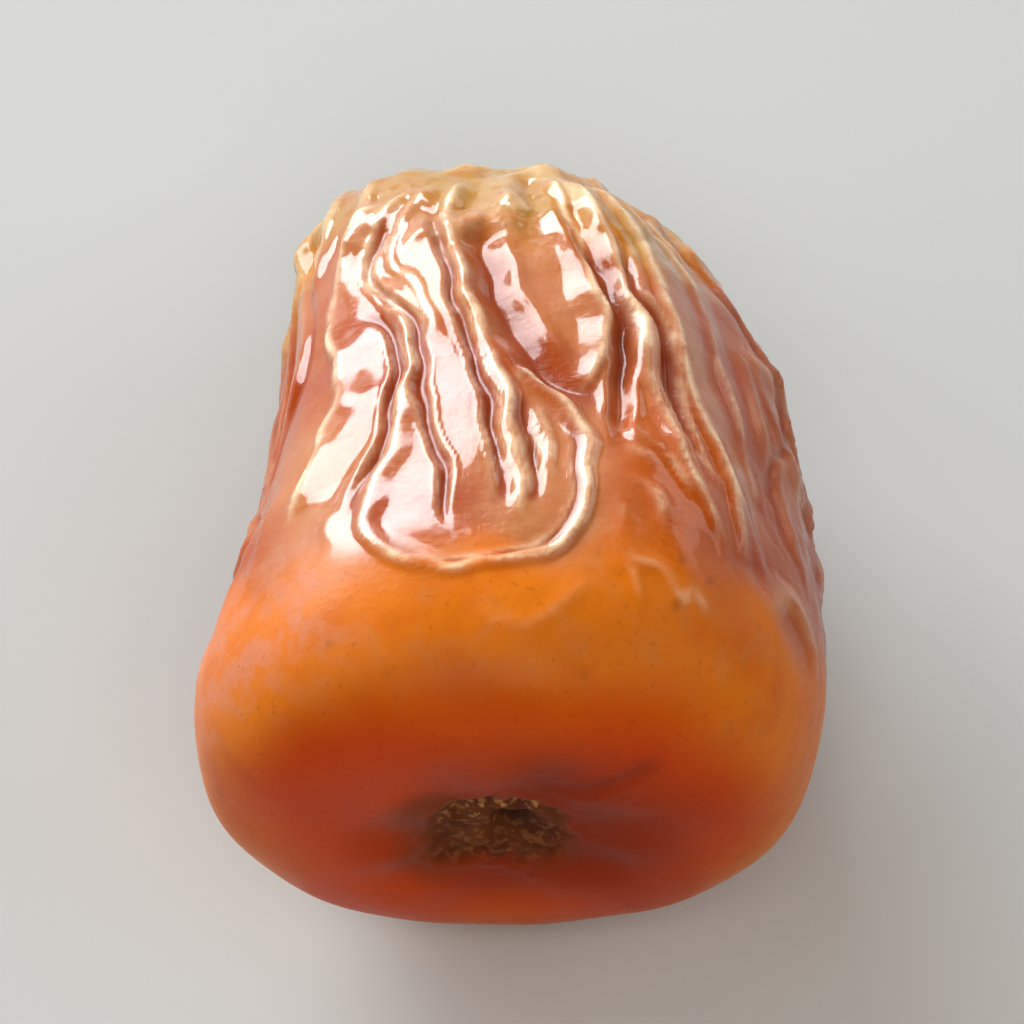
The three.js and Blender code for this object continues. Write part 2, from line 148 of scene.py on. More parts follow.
# Furrows on top: depth, half width and places in plan. A thin lip runs along either side.
Furrow = namedtuple("Furrow", "depth width at")
TOP_FURROWS = [
    Furrow(0.42, 0.27, [(-5.2, 29), (-5.8, 27.3), (-6.3, 25.2), (-5.6, 23.4), (-4.3, 21.8), (-3.9, 18.1),
                       (-3.4, 14.1), (-2.9, 12.5), (-3, 10.9), (-2.5, 8.1)]),
    Furrow(0.42, 0.27, [(-6.6, 22.9), (-5.5, 21.8), (-5, 19.6), (-5, 17.2), (-5.5, 14.6), (-6.3, 12.2),
                        (-6.8, 10.2)]),
    Furrow(0.42, 0.27, [(-3.8, 29.2), (-3.4, 27.6), (-3.2, 26.2), (-2.6, 23.1), (-1.9, 19.8), (-1.2, 16.7),
                       (-0.7, 13.4), (-0.3, 10)]),
    Furrow(0.4, 0.27, [(0.1, 16.9), (0.5, 14.4), (0.8, 12), (0.7, 10)]),
    Furrow(0.1, 0.18, [(1.8, 16), (2.4, 14.8), (2.7, 12.8), (2.3, 10.2), (1.2, 8.3), (-0.6, 7.5), (-2.8, 7.3),
                       (-4.5, 8.1), (-5.4, 9.2)]),
    Furrow(0.55, 0.85, [(-0.8, 28.4), (-1.1, 27), (-1.4, 25.7), (-0.8, 23), (0.2, 20.2), (1.2, 18.3),
                      (2.4, 17.2), (4, 16.6)]),
    Furrow(0.55, 0.5, [(1.6, 30.4), (2.4, 28), (2.8, 26.2), (4.0, 23.6), (4.6, 21.4), (4.6, 19), (4.4, 16),
                      (4.2, 13)]),
    Furrow(0.42, 0.36, [(3.4, 28.4), (4.4, 25.8), (4.9, 23.5), (6.1, 20.6), (6.7, 17.8), (7.5, 14.8), (8.5, 12)]),
    Furrow(0.2, 0.55, [(0.4, 0.02), (1.8, 0.03), (3.2, 0.08), (4.8, 0.3), (6, 0.8)]),
]
LIP = 0.14  # height of the lips beside a furrow, as a share of its depth
LIP_AT = 1.35  # from its middle, in half widths

# Ridges on the sides and the underside, by rule: loose patches side by side, each with two edges that run
# to the tip, closed in an arch near the collar or open, a fold inside and a short one across.
# A pair of numbers is a span, from which each patch draws its own value.
PATCHES = 7
PATCHES_FROM = 1.2
PATCHES_TO = 5.25
PATCHES_CLOSED = 0.55
PATCH_SHARE = 0.72
PATCH_SHIFT = (-0.14, 0.14)
PATCH_START = (0.3, 2.8)
PATCH_TIP_SHARE = 0.8
PATCH_SEED = 11
SHOULDER = (0.85, 0.6)
EDGE_START = 1.4
EDGE_DELAY = (0, 2.5)
FOLD_START = (2.5, 4.5)
FOLD_SIDE = (-0.2, 0.2)
LINE_POINTS = 7
MEANDER = (0.06, 0.17)
MEANDER_PER_MM = (0.36, 0.6)
MEANDER_START = 6
LINE_STOP = 30.8
OVER_TIP = 0.5
OVER_TIP_SHARES = (0.85, 0.72, 0.58)
OVER_TIP_LAST = (0.44, 0.62)
EARLY_STOP = (0, 3)
EDGE_HEIGHT = (0.4, 0.75)
FOLD_HEIGHT = (0.25, 0.5)
LINK_HEIGHT = 0.3
EDGE_STEEP = (0.25, 0.38)  # width of the steep side of an edge
EDGE_BROAD = (1.0, 2.0)
FOLD_STEEP = (0.25, 0.35)
FOLD_BROAD = (0.6, 1.2)

# Smaller folds along the level lines of smooth fields: size and stretch of the fields' patches, height,
# width of the crests, and seed.
Fold = namedtuple("Fold", "size stretch height width seed")
FOLDS = [
    Fold(4.2, 2.6, 0.3, 0.75, 3),
    Fold(2.3, 1.9, 0.13, 0.5, 4),
]

BARE_FOLD = Fold(1.9, 1.6, 0.1, 0.4, 8)  # small ones on the bare skin right of the loop

# The net of fine creases: size of its meshes across, along and across, depth, sharpness and seed.
Net = namedtuple("Net", "cell depth sharp seed")
NETS = [Net((1.1, 2.3, 1.1), 0.11, 0.1, 6)]
NET_CROWDING = 0.78

# The mesh.
AROUND = 330
RINGS = 300
TOP_CROWDING = 0.45
FINE_STEPS = 6000
SCAR_STEP = 0.16
COLLAR_STEP = 0.34
SKIN_STEP = 0.17
TIP_STEP = 0.22
SPLINE_STEPS = 10
TURN = 2 * math.pi


def smooth(low, high, v):
    """Smooth step from 0 at low to 1 at high."""
    t = np.clip((v - low) / (high - low), 0, 1)
    return t * t * (3 - 2 * t)


def signed_power(v, power):
    return np.sign(v) * np.abs(v) ** power


def random_from(seed):
    """Repeatable random numbers from 0 to 1, the same row of them as the solid uses."""
    full = 0xFFFFFFFF
    state = [seed & full]

    def draw():
        state[0] = (state[0] + 0x6D2B79F5) & full
        s = state[0]
        t = ((s ^ (s >> 15)) * (1 | s)) & full
        t = ((t + (((t ^ (t >> 7)) * (61 | t)) & full)) & full) ^ t
        return (t ^ (t >> 14)) / 4294967296

    return draw


# The plain form


def taper(y):
    past = y - TAPER_START
    eased = np.clip(past + TAPER_EASE, 0, 2 * TAPER_EASE) ** 2 / (4 * TAPER_EASE)
    return 1 - TAPER_PER_MM * np.where(past > TAPER_EASE, past, eased)


def axis_x(y):
    share = y / LENGTH
    return SIDE_SWAY * share**2 * (SWAY_TURN - share) - STEM_OFFSET * (1 - share) ** 2


def axis_z(y):
    return HEIGHT / 2 * taper(y) + BELLY_RISE * (y - SETTLE_AT) ** 2 - SETTLE


def fullness(y, tip_squareness):
    n = STEM_SQUARENESS + (tip_squareness - STEM_SQUARENESS) * smooth(*SQUARENESS_CHANGE, y / LENGTH)
    from_middle = np.minimum(1, np.abs(2 * y / LENGTH - 1))
    return (1 - from_middle**n) ** (1 / n)


def tip_place(share):
    """Where the outline at the tip has narrowed to this share of its width."""
    return LENGTH / 2 * (1 + (1 - share**TIP_SQUARENESS) ** (1 / TIP_SQUARENESS))


def plain_point(y, angle):
    """Points of the plain form, y from the stem end and the angle from the top."""
    y, angle = np.broadcast_arrays(np.asarray(y, float), np.asarray(angle, float))
    power = 2 / SECTION_SQUARENESS
    half_width = WIDTH / 2 * taper(y) * fullness(y, TIP_SQUARENESS)
    half_height = HEIGHT / 2 * taper(y) * fullness(y, TIP_SQUARENESS_UP)
    x = axis_x(y) + half_width * signed_power(np.sin(angle), power)
    z = axis_z(y) + half_height * signed_power(np.cos(angle), power)
    return np.stack([x, y, np.maximum(0, z)], -1)


def top_points(at):
    """The same surface, above places of the plan."""
    x, y = np.array(at, float).T
    half_width = WIDTH / 2 * taper(y) * fullness(y, TIP_SQUARENESS)
    across = np.clip((x - axis_x(y)) / half_width, -1, 1)
    return plain_point(y, np.arcsin(signed_power(across, SECTION_SQUARENESS / 2)))


def collar_line(angle):
    swing = COLLAR_LINE_TOP * np.cos(angle) + COLLAR_LINE_SIDE * np.sin(angle)
    height, count, turn = COLLAR_LINE_WAVE
    return COLLAR_LINE - swing + height * np.sin(count * angle + turn)


# Lines on the form


def spline_through(points, steps=SPLINE_STEPS):
    """A centripetal spline through the points, as a chain of short straight steps."""
    p = np.array(points, float)
    p = np.vstack([2 * p[0] - p[1], p, 2 * p[-1] - p[-2]])
    out = []
    for k in range(1, len(p) - 2):
        a, b, c, d = p[k - 1], p[k], p[k + 1], p[k + 2]
        gaps = [max(np.linalg.norm(v - u) ** 0.5, 1e-4) for u, v in ((a, b), (b, c), (c, d))]
        start = ((b - a) / gaps[0] - (c - a) / (gaps[0] + gaps[1]) + (c - b) / gaps[1]) * gaps[1]
        end = ((c - b) / gaps[1] - (d - b) / (gaps[1] + gaps[2]) + (d - c) / gaps[2]) * gaps[1]
        t = np.linspace(0, 1, steps, endpoint=False)[:, None]
        out.append(b + start * t + (3 * (c - b) - 2 * start - end) * t**2 + (2 * (b - c) + start + end) * t**3)
    return np.vstack([*out, p[-2:-1]])


def patch_ridges(middle, half_angle, draw, draw_flank):
    """The edges of one patch of loose skin, closed round its collar end or open, the fold inside it and a
    short fold across."""

    def within(span, draw=draw):
        return span[0] + (span[1] - span[0]) * draw()

    start = collar_line(middle) + within(PATCH_START)
    closed = draw() < PATCHES_CLOSED

    def line(side, from_y):
        turn = TURN * draw()
        meander = within(MEANDER)
        per_mm = within(MEANDER_PER_MM)
        over_tip = draw() < OVER_TIP
        stop = LINE_STOP if over_tip else LINE_STOP - within(EARLY_STOP)
        along = np.arange(LINE_POINTS + 1) / LINE_POINTS
        y = from_y + (stop - from_y) * along
        if over_tip:
            shares = [*OVER_TIP_SHARES, within(OVER_TIP_LAST)]
            y = np.append(y, [tip_place(share) for share in shares])
            along = np.append(along, [1] * len(shares))
        spread = side * half_angle * (1 + (PATCH_TIP_SHARE - 1) * along)
        wandering = meander * np.sin(y * per_mm + turn) * smooth(start, start + MEANDER_START, y)
        return plain_point(y, middle + spread + wandering)

    left = line(-1, start + EDGE_START)
    right = line(1, start + EDGE_START + (0 if closed else within(EDGE_DELAY)))
    sides = np.array([-SHOULDER[0], 0, SHOULDER[0]])
    arch = plain_point(start + SHOULDER[1] * (sides != 0), middle + sides * half_angle)
    fold = line(within(FOLD_SIDE), start + within(FOLD_START))
    link = np.array([right[2], (right[3] + fold[2]) / 2, fold[3]])
    edges = [np.vstack([left[::-1], arch, right])] if closed else [left, right]
    lines = [(0.72 * within(EDGE_HEIGHT), EDGE_STEEP, EDGE_BROAD, edge) for edge in edges]
    lines.append((within(FOLD_HEIGHT), FOLD_STEEP, FOLD_BROAD, fold))
    lines.append((LINK_HEIGHT, FOLD_STEEP, FOLD_BROAD, link))
    ridges = []
    for height, steep, broad, points in lines:
        flanks = [within(steep, draw_flank), within(broad, draw_flank)]
        if draw_flank() < 0.5:
            flanks.reverse()
        ridges.append((height, *flanks, spline_through(points), True))
    return ridges


def all_ridges():
    ridges = [(r.height, r.left, r.right, spline_through(top_points(r.at)), False) for r in TOP_RIDGES]
    draw, draw_flank = random_from(PATCH_SEED), random_from(PATCH_SEED + 1)
    place = (PATCHES_TO - PATCHES_FROM) / PATCHES
    for k in range(PATCHES):
        shift = PATCH_SHIFT[0] + (PATCH_SHIFT[1] - PATCH_SHIFT[0]) * draw()
        middle = PATCHES_FROM + place * (k + 0.5 + shift)
        ridges += patch_ridges(middle, place / 2 * PATCH_SHARE, draw, draw_flank)
    return ridges


def near_line(points, normals, line, reach):
    """For the points within reach of a line: their numbers, distances (positive on the left of the way
    along), and the lengths along the line to its nearer end."""
    low, high = line.min(0) - reach, line.max(0) + reach
    near = np.flatnonzero(np.all((points > low) & (points < high), axis=1))
    best = np.full(len(near), np.inf)
    side = np.ones(len(near))
    along = np.zeros(len(near))
    steps = np.diff(line, axis=0)
    lengths = np.linalg.norm(steps, axis=1)
    passed = np.concatenate([[0], np.cumsum(lengths)])
    p, n = points[near], normals[near]
    for k, (step, length) in enumerate(zip(steps, lengths)):
        offset = p - line[k]
        t = np.clip(offset @ step / length**2, 0, 1)
        away = offset - t[:, None] * step
        squared = (away**2).sum(1)
        closer = squared < best
        best[closer] = squared[closer]
        side[closer] = np.sign((np.cross(step, away[closer]) * n[closer]).sum(1))
        along[closer] = passed[k] + t[closer] * length
    distance = np.sqrt(best)
    kept = distance < reach
    to_end = np.minimum(along, passed[-1] - along)
    return near[kept], distance[kept] * side[kept], to_end[kept]


# The relief


def wander(points, size, seed):
    """A smooth random field of about -1 to 1, whose hills are about size millimetres wide."""
    rng = np.random.default_rng(seed)
    field = np.zeros(len(points))
    for _ in range(9):
        way = rng.normal(size=3)
        way *= TURN / (size * rng.uniform(1.3, 3)) / np.linalg.norm(way)
        field += np.sin(points @ way + rng.uniform(0, TURN))
    return field / 2.6


def net_of_wrinkles(points, net):
    """Shallow bowls side by side, with creases where they meet: about 0 in the bowls and 1 on a crease."""
    rng = np.random.default_rng(net.seed)
    bent = points + 0.5 * np.stack([wander(points, 4, net.seed * 10 + k) for k in range(3)], -1)
    scaled = (bent / np.array(net.cell)).astype(np.float32)
    free = np.ones(len(points), bool)
    nearest = np.full(len(points), 9, np.float32)
    second = nearest.copy()
    order = rng.permutation(len(points))
    for k in order:
        if not free[k]:
            continue
        squared = ((scaled - scaled[k]) ** 2).sum(1)
        free &= squared > NET_CROWDING**2
        second = np.minimum(second, np.maximum(nearest, squared))
        nearest = np.minimum(nearest, squared)
    edge = np.sqrt(second) - np.sqrt(nearest)
    rounded = nearest - net.sharp * np.exp(-edge / 0.12)
    return rounded / 0.45, np.exp(-edge / 0.15)


def folds_along_levels(points, fold):
    """Distance to the nearest zero line of a smooth random field, whose patches are drawn out along the
    fruit: long folds that meander, hook and close on themselves."""
    rng = np.random.default_rng(fold.seed)
    field = np.zeros(len(points))
    climb = np.zeros_like(points)
    for _ in range(12):
        way = rng.normal(size=3)
        way *= TURN / (fold.size * rng.uniform(1.0, 2.0)) / np.linalg.norm(way)
        way[1] /= fold.stretch
        phase = points @ way + rng.uniform(0, TURN)
        field += np.sin(phase)
        climb += np.cos(phase)[:, None] * way
    steepness = np.linalg.norm(climb, axis=1)
    return field / np.maximum(steepness, 0.35 * steepness.mean())


def tent(distance, left, right):
    """1 on a line, falling straight to 0 at its sides' widths, the crest slightly rounded."""
    away = np.hypot(distance, CREST_ROUND) - CREST_ROUND
    return np.clip(1 - away / np.where(distance > 0, left, right), 0, 1) ** FOOT


def ridge_relief(points, normals):
    """Height of the ridges less the furrows, and masks of crests and of valleys."""
    count = len(points)
    crest = np.zeros(count)
    line_mask = np.zeros(count)
    grooves = np.zeros(count)
    valley = np.zeros(count)
    wavy = points + WOBBLE * np.stack([wander(points, WOBBLE_SIZE, 81 + k) for k in range(3)], -1)
    for height, left, right, line, grooved in all_ridges():
        near, distance, to_end = near_line(wavy, normals, line, REACH)
        y = points[near, 1]
        mean, share, pace, turn = UNEVEN
        uneven = mean + share * np.sin(pace * y + turn * height)
        ending = smooth(0, LINE_END, to_end) * uneven * smooth(*TIP_FADE, fullness(y, TIP_SQUARENESS))
        if grooved:
            ending = ending * (1 - 0.45 * smooth(10, 16, points[near, 2]))
        crest[near] += (height * ending * tent(distance, left, right)) ** UNION
        inwards = 0.07 * np.sign(left - right)
        pale_width = 0.13 + 0.2 * min(left, right)
        # Pale lines along the crests: the lifted skin's pale edge with a painted highlight.
        pale = (0.3 if grooved else min(1, height / 0.2) ** 2) * ending * np.exp(-(((distance - inwards) / pale_width) ** 2))
        line_mask[near] = np.maximum(line_mask[near], pale)
        if grooved:
            down_steep = distance if left < right else -distance
            beside = ending * np.exp(-(((down_steep - min(left, right) - FOOT_GROOVE) / FOOT_GROOVE) ** 2))
            grooves[near] = np.maximum(grooves[near], FOOT_DEPTH * height * beside)
            # The groove at a crest's foot goes into the valley mask, which the finish paints darker: painted shade
            # with the flesh's deeper red.
            valley[near] = np.maximum(valley[near], beside)
    crest = crest ** (1 / UNION)
    furrow = np.zeros(count)
    lips = np.zeros(count)
    for depth, width, at in TOP_FURROWS:
        near, distance, to_end = near_line(wavy, normals, spline_through(top_points(at)), REACH)
        ending = smooth(0, FURROW_END, to_end)
        furrow[near] += (depth * ending * tent(distance, width, width)) ** UNION
        shade = smooth(0, 1, to_end) * np.exp(-((distance / width) ** 2))
        valley[near] = np.maximum(valley[near], shade)
        lip = ending * np.exp(-(((np.abs(distance) / width - LIP_AT) / 0.45) ** 2))
        lips[near] = np.maximum(lips[near], LIP * min(depth, 0.5) * lip)
        line_mask[near] = np.maximum(line_mask[near], 0.4 * lip * (width < 0.5))
    crest = np.maximum(crest, lips)
    furrow = furrow ** (1 / UNION)
    return crest - furrow - grooves, line_mask, valley


def stem_relief(points, angle):
    """The hollow, the scar, its rim and pit, and the puckers round it; and the scar's mask."""
    x, z = points[:, 0] - axis_x(0), points[:, 2] - axis_z(0)
    radius = np.hypot(x, z)
    from_scar = np.hypot(x - SCAR_AT, z)
    from_pit = np.hypot(x - PIT_AT, z)

    def bell(distance, middle, width):
        return np.exp(-(((distance - middle) / width) ** 2))

    ragged = from_scar + 0.3 * wander(points, 1.8, 41) + 0.12 * wander(points, 0.7, 45)
    in_scar = 1 - smooth(SCAR_RADIUS - SCAR_EDGE, SCAR_RADIUS + SCAR_EDGE, ragged)
    lip = bell(ragged, SCAR_RADIUS + 0.35, 0.35)
    height = (
        -HOLLOW_DEPTH * bell(radius, 0, HOLLOW_RADIUS)
        - SCAR_DEPTH * in_scar
        + 0.08 * lip
        + RIM_HEIGHT * bell(from_pit, RIM_RADIUS, RIM_WIDTH) * (0.8 + 0.5 * wander(points, 0.9, 42))
        - PIT_DEPTH * bell(from_pit, 0, PIT_RADIUS)
        + PUCKER_DEPTH * np.cos(PUCKERS * angle + 0.9 * wander(points, 5, 43))
        * bell(radius, PUCKER_RADIUS, PUCKER_WIDTH)
        + 0.07 * in_scar * wander(points, 0.5, 44)
    )
    at_stem = 1 - smooth(6, 14, points[:, 1])
    return height * at_stem, in_scar * at_stem, bell(from_pit, 0, 0.8) * at_stem


def grid_normals(grid):
    """Outward normals of a grid of rings, shape (rings, around, 3)."""
    along = np.gradient(grid, axis=0)
    around = np.roll(grid, -1, axis=1) - np.roll(grid, 1, axis=1)
    normals = np.cross(around, along)
    lengths = np.linalg.norm(normals, axis=2, keepdims=True)
    return normals / np.maximum(lengths, 1e-9)


def fine_places():
    """Places along the length, close together at both poles, where the outline turns across."""
    power = STEM_SQUARENESS / 2
    share = np.linspace(0, 1, FINE_STEPS + 1)
    half = np.where(share < 0.5, 2 * share, 2 * (1 - share))
    eased = half**power / (half**power + (1 - half) ** power)
    from_middle = np.abs(np.cos(eased * math.pi / 2)) ** (1 / power)
    return LENGTH / 2 * np.where(share < 0.5, 1 - from_middle, 1 + from_middle)


def ring_places():
    places = fine_places()
    radius = WIDTH / 2 * taper(places) * fullness(places, TIP_SQUARENESS)
    spacing = np.where(places > LENGTH / 2, np.where(radius < WIDTH * 0.27, TIP_STEP, SKIN_STEP), SKIN_STEP)
    at_stem = places < LENGTH / 2
    spacing = np.where(at_stem & (places < COLLAR_LINE - COLLAR_LINE_TOP - 2), COLLAR_STEP, spacing)
    spacing = np.where(at_stem & (radius < SCAR_RADIUS + 1.5), SCAR_STEP, spacing)
    lengths = np.hypot(np.diff(places), np.diff(radius)) / spacing[1:]
    passed = np.concatenate([[0], np.cumsum(lengths)])
    wanted = passed[-1] * np.arange(1, RINGS + 1) / (RINGS + 1)
    return np.interp(wanted, passed, places)


def skin_mesh():
    """The date's surface, its faces and its masks."""
    even = TURN * np.arange(AROUND) / AROUND
    angles = even - TOP_CROWDING * np.sin(even)
    rings = ring_places()
    grid = plain_point(rings[:, None], angles[None, :])
    normals = grid_normals(grid).reshape(-1, 3)
    points = grid.reshape(-1, 3)
    angle = np.broadcast_to(angles, (RINGS, AROUND)).ravel()

    line = collar_line(angle)
    dried = smooth(line + COLLAR_FADE[0], line + COLLAR_FADE[1], points[:, 1] + 0.8 * wander(points, 3, 31))
    end = fullness(points[:, 1], TIP_SQUARENESS)
    flutes = sum(share * np.cos(count * angle + turn) for count, share, turn in FLUTES)
    flutes = flutes * np.where(points[:, 1] > LENGTH / 2, smooth(*TIP_FADE, end), 1)
    ridges, crest, valley = ridge_relief(points, normals)
    on_top = smooth(11, 16, points[:, 2]) * smooth(-11, -9, points[:, 0]) * (1 - smooth(4, 7, points[:, 0]))
    # Facets on the upper left, painted paler in the finish: partly the pale of lifted skin, partly a painted sheen.
    facet = on_top * smooth(-0.8, 0.3, wander(points, 5, 72))
    # A strip on the right, painted pale in the finish as a painted sheen in place of a light's reflection.
    beside = np.abs(points[:, 0] - 9 + 0.36 * (points[:, 1] - 16)) / 0.9
    strip = (1 - smooth(0.6, 1.2, beside)) * smooth(11, 13, points[:, 1]) * (1 - smooth(20, 25, points[:, 1]))
    facet = np.maximum(facet, strip * smooth(12, 15, points[:, 2]))
    broad_top = smooth(9, 14, points[:, 2]) * smooth(-11, -9, points[:, 0]) * (1 - smooth(9, 12, points[:, 0]))
    calm = 1 - 0.9 * broad_top * (1 - smooth(24.5, 27.5, points[:, 1]))
    past_loop = smooth(3, 4.6, points[:, 0]) * (1 - smooth(8, 10.5, points[:, 0]))
    bare = past_loop * smooth(8, 14, points[:, 2]) * (1 - smooth(14, 19, points[:, 1] + 1.5 * wander(points, 3, 67)))
    small = 0
    for fold in FOLDS:
        distance = folds_along_levels(points, fold)
        uneven = smooth(-0.6, 0.5, wander(points, 4, 70 + fold.seed))
        rise = tent(distance, fold.width, 1.6 * fold.width) * uneven
        small = small + fold.height * (rise - 0.3) * calm
        # The larger folds' crests join the pale crest lines, with their painted highlight.
        crest = np.maximum(crest, 0.25 * rise * calm * dried * (fold.height > 0.2))
    rise = tent(folds_along_levels(points, BARE_FOLD), BARE_FOLD.width, 1.6 * BARE_FOLD.width)
    rise = rise * bare * smooth(4, 6, points[:, 1]) * smooth(-0.4, 0.6, wander(points, 3, 75))
    ridges = ridges + BARE_FOLD.height * rise
    # The bare folds' crests join the pale crest lines, with their painted highlight.
    crest = np.maximum(crest, 0.3 * smooth(0.6, 1, rise))
    at_tip = smooth(25, 29, points[:, 1]) * smooth(0.05, 0.4, end)
    radial = np.cos(TIP_PUCKERS * angle + TIP_PUCKER_BEND * wander(points, 3.5, 53))
    radial = smooth(-0.4, 1, radial) * smooth(-1, 0.5, wander(points, 2.5, 54))
    small = small + TIP_PUCKER_HEIGHT * (radial - 0.3) * at_tip
    # The tip puckers' crests join the pale crest lines, with their painted highlight.
    crest = np.maximum(crest, 0.35 * smooth(0.5, 1, radial) * at_tip)
    rippled = wander(points * (0.8, 1, 0.8), 1.0, 73)
    small = small + 0.03 * rippled * broad_top
    for net in NETS:
        rise, edge = net_of_wrinkles(points, net)
        small = small + net.depth * (rise - 0.4) * calm * smooth(-0.7, 0.5, wander(points, 5, 71))
    stem, scar, pit = stem_relief(points, angle)
    from_apex = np.hypot(points[:, 0] - axis_x(LENGTH), points[:, 2] - axis_z(LENGTH)) + 9 * (LENGTH - points[:, 1])
    apex = np.exp(-((from_apex / APEX_RADIUS) ** 2))
    lumps = 0.12 * wander(points, 9, 51) + 0.05 * wander(points, 3.5, 52)
    fade = smooth(*FLAT_FADE, points[:, 2])
    relief = (dried * (FLUTE_DEPTH * flutes - SHRINK + small) + ridges + stem + lumps - APEX_DEPTH * apex) * fade
    raised = points + normals * relief[:, None]
    raised[:, 2] = np.maximum(0, raised[:, 2])
    from_scar = np.hypot(points[:, 0] - axis_x(0) - 1.6, points[:, 2] - axis_z(0)) + 0.7 * wander(points, 3, 62)
    at_stem = points[:, 1] < LENGTH / 2
    # Red-brown round the scar over the stem-end face: a darker zone round the scar, with painted shade on the face
    # turned from the light.
    scar_zone_and_shade = (1 - smooth(2.5, 9, from_scar)) * at_stem
    from_stain = np.hypot(points[:, 0] - axis_x(0) - STAIN_AT, points[:, 2] - axis_z(0))
    stain = 1 - smooth(0.3, 1.1, (from_stain + 0.9 * wander(points, 1.8, 63)) / STAIN_RADIUS)
    masks = {
        "dried": dried,
        "bare": bare,
        # Painted sheen: a mottled pale pink patch on the upper left of the collar, in place of reflected light.
        "painted_sheen": smooth(2, 5.5, points[:, 1]) * smooth(5, 9, -points[:, 0]) * smooth(8, 14, points[:, 2]),
        "crest": crest * fade,
        "valley": valley * fade,
        "scar": scar,
        "pit": pit,
        "side": smooth(7.5, 11, np.abs(points[:, 0])),
        "facet": facet,
        "tip": smooth(24.5, 31, points[:, 1] + 1.8 * wander(points, 4, 61)),
        "scar_zone_and_shade": scar_zone_and_shade,
        "apex": smooth(0.3, 0.8, apex + 0.2 * wander(points, 0.8, 64)),
        "end": 1 - smooth(0.1, 3.4, points[:, 1] + 0.6 * wander(points, 6, 65)),
        "flecks": scar * smooth(0.3, 2.6, points[:, 2] - axis_z(0) + 0.9 * wander(points, 0.8, 66)),
        "stain": stain * at_stem,
    }

    poles = []
    for ring, y in ((raised[:AROUND], 0), (raised[-AROUND:], LENGTH)):
        poles.append(ring.mean(0))
    vertices = np.vstack([raised, poles])
    masks = {name: np.append(m, [m[:AROUND].mean(), m[-AROUND:].mean()]) for name, m in masks.items()}

    k = np.arange(AROUND)
    after = (k + 1) % AROUND
    quads = []
    for ring in range(RINGS - 1):
        a, b = ring * AROUND, (ring + 1) * AROUND
        quads.append(np.stack([a + k, a + after, b + after, b + k], -1))
    quads = np.vstack(quads)
    stem_pole, tip_pole = RINGS * AROUND, RINGS * AROUND + 1
    last = (RINGS - 1) * AROUND
    caps = [(stem_pole, i, j) for i, j in zip(after, k)] + [(tip_pole, last + i, last + j) for i, j in zip(k, after)]
    faces = quads.tolist() + caps
    return vertices, faces, masks


def make_date():
    vertices, faces, masks = skin_mesh()
    low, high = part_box("date")
    middle = (vertices.min(0) + vertices.max(0)) / 2
    vertices = vertices * MM
    vertices[:, 0] += (low.x + high.x) / 2 - middle[0] * MM
    vertices[:, 1] += (low.y + high.y) / 2 - middle[1] * MM
    mesh = bpy.data.meshes.new("date_skin")
    mesh.from_pydata(vertices.tolist(), [], faces)
    mesh.update()
    mesh.polygons.foreach_set("use_smooth", [True] * len(mesh.polygons))
    for name, mask in masks.items():
        mesh.attributes.new(name, "FLOAT", "POINT").data.foreach_set("value", mask.astype(np.float32))
    piece = bpy.data.objects.new("date_skin", mesh)
    bpy.context.scene.collection.objects.link(piece)
    return piece


date = make_date()

# The finish


class Finish:
    """A material's nodes, added one after another."""

    def __init__(self, name):
        self.material = bpy.data.materials.new(name)
        self.material.use_nodes = True
        self.tree = self.material.node_tree
        self.shader = self.tree.nodes["Principled BSDF"]
        self.place = self.tree.nodes.new("ShaderNodeTexCoord").outputs["Object"]

    def put(self, socket, value):
        """Sets a socket to a plain value, or links another socket to it."""
        if isinstance(value, bpy.types.NodeSocket):
            self.tree.links.new(value, socket)
        else:
            socket.default_value = value

    def mask(self, name):
        node = self.tree.nodes.new("ShaderNodeAttribute")
        node.attribute_name = name
        return node.outputs["Fac"]

    def maths(self, how, a, b=0.0, clamp=False):
        node = self.tree.nodes.new("ShaderNodeMath")
        node.operation = how
        node.use_clamp = clamp
        self.put(node.inputs[0], a)
        self.put(node.inputs[1], b)
        return node.outputs[0]

    def stretched(self, ways):
        """Coordinates scaled by a factor in each direction."""
        node = self.tree.nodes.new("ShaderNodeMapping")
        node.inputs["Scale"].default_value = ways
        self.tree.links.new(self.place, node.inputs["Vector"])
        return node.outputs[0]

    def noise(self, size, detail=3.0, rough=0.5, warp=0.0, ways=(1, 1, 1)):
        """Noise whose patches are about size millimetres wide."""
        node = self.tree.nodes.new("ShaderNodeTexNoise")
        node.inputs["Scale"].default_value = 1 / (size * MM)
        node.inputs["Detail"].default_value = detail
        node.inputs["Roughness"].default_value = rough
        node.inputs["Distortion"].default_value = warp
        self.tree.links.new(self.stretched(ways), node.inputs["Vector"])
        return node.outputs["Fac"]

    def ranged(self, value, low, high, to_low=0.0, to_high=1.0):
        """The value, taken smoothly from low and high to new ends."""
        node = self.tree.nodes.new("ShaderNodeMapRange")
        node.interpolation_type = "SMOOTHSTEP"
        self.put(node.inputs["Value"], value)
        for name, number in (("From Min", low), ("From Max", high), ("To Min", to_low), ("To Max", to_high)):
            node.inputs[name].default_value = number
        return node.outputs["Result"]

    def blended(self, share, first, second):
        """A number between two."""
        node = self.tree.nodes.new("ShaderNodeMix")
        node.data_type = "FLOAT"
        self.put(node.inputs["Factor"], share)
        self.put(node.inputs["A"], first)
        self.put(node.inputs["B"], second)
        return node.outputs["Result"]

    def mixed(self, share, first, second):
        """A colour between two, each given as a socket or as red, green and blue."""
        node = self.tree.nodes.new("ShaderNodeMix")
        node.data_type = "RGBA"
        self.put(node.inputs["Factor"], share)
        for name, colour in (("A", first), ("B", second)):
            socket = [s for s in node.inputs if s.name == name and s.type == "RGBA"][0]
            self.put(socket, colour if isinstance(colour, bpy.types.NodeSocket) else (*colour, 1))
        return [s for s in node.outputs if s.type == "RGBA"][0]


